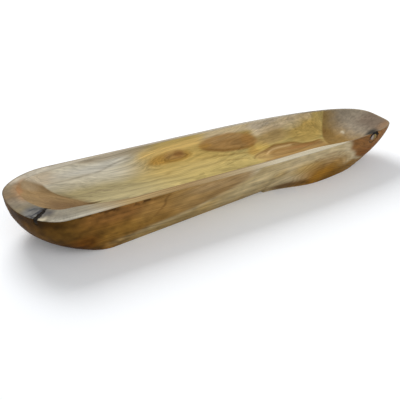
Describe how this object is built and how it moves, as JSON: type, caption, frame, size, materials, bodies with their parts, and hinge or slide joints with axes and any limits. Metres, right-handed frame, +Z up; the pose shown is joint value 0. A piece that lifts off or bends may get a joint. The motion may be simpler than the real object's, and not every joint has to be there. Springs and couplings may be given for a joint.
{
  "type": "boat-shaped wooden bowl",
  "caption": "Long boat-shaped bowl carved from a half log, with a flat rim, a rounded trough, a blunt round end, a drawn-out bow and dead knots, for fruit, bread or display.",
  "frame": {"origin": "on the resting surface, below the middle of the bowl's outline", "axes": "+X along the bowl towards the pointed bow, +Y towards the far side of the picture, +Z up out of the hollow"},
  "size_m": [0.6, 0.14, 0.065],
  "materials": {
    "oiled_wood": "satin, oiled, streaked sapwood and heartwood",
    "bark": "rough, dry, nearly black",
    "knot_wood": "satin, pale with an olive core"
  },
  "bodies": {
    "root": {"bowl_body": "oiled_wood", "rim_bark_seam": "bark", "tip_knot": "knot_wood", "tip_knot_bark": "bark"}
  },
  "joints": []
}
